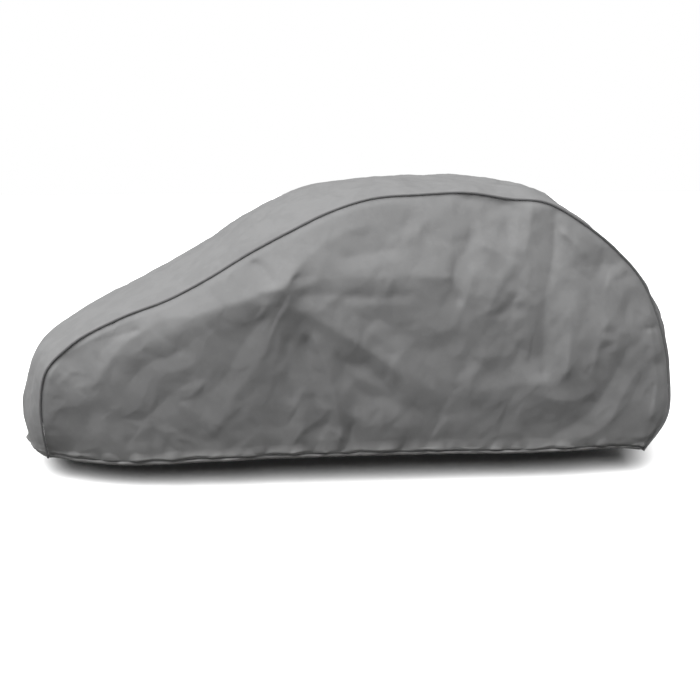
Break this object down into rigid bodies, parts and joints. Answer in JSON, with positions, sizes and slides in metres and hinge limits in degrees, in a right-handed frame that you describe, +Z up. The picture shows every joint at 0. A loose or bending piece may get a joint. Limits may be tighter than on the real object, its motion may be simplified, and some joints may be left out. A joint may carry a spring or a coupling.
{
  "type": "fitted car cover",
  "caption": "Hollow grey cloth cover that fits over a small hatchback, with a long top panel, a panel on each side, dark piped seams and a hem band.",
  "frame": {"origin": "point under the top panel, on the middle plane, where the cover is held up", "axes": "+X towards the tail, -Y towards the left side, +Z up"},
  "size_m": [3.6678, 1.7975, 1.4751],
  "materials": {
    "top_cloth": "matt grey nonwoven cloth",
    "side_cloth": "matt grey nonwoven cloth",
    "piping": "matt dark grey bound edge"
  },
  "bodies": {
    "root": {"top_panel": "top_cloth", "side_panel_left": "side_cloth", "side_panel_right": "side_cloth", "piping_left": "piping", "piping_right": "piping"}
  },
  "joints": []
}
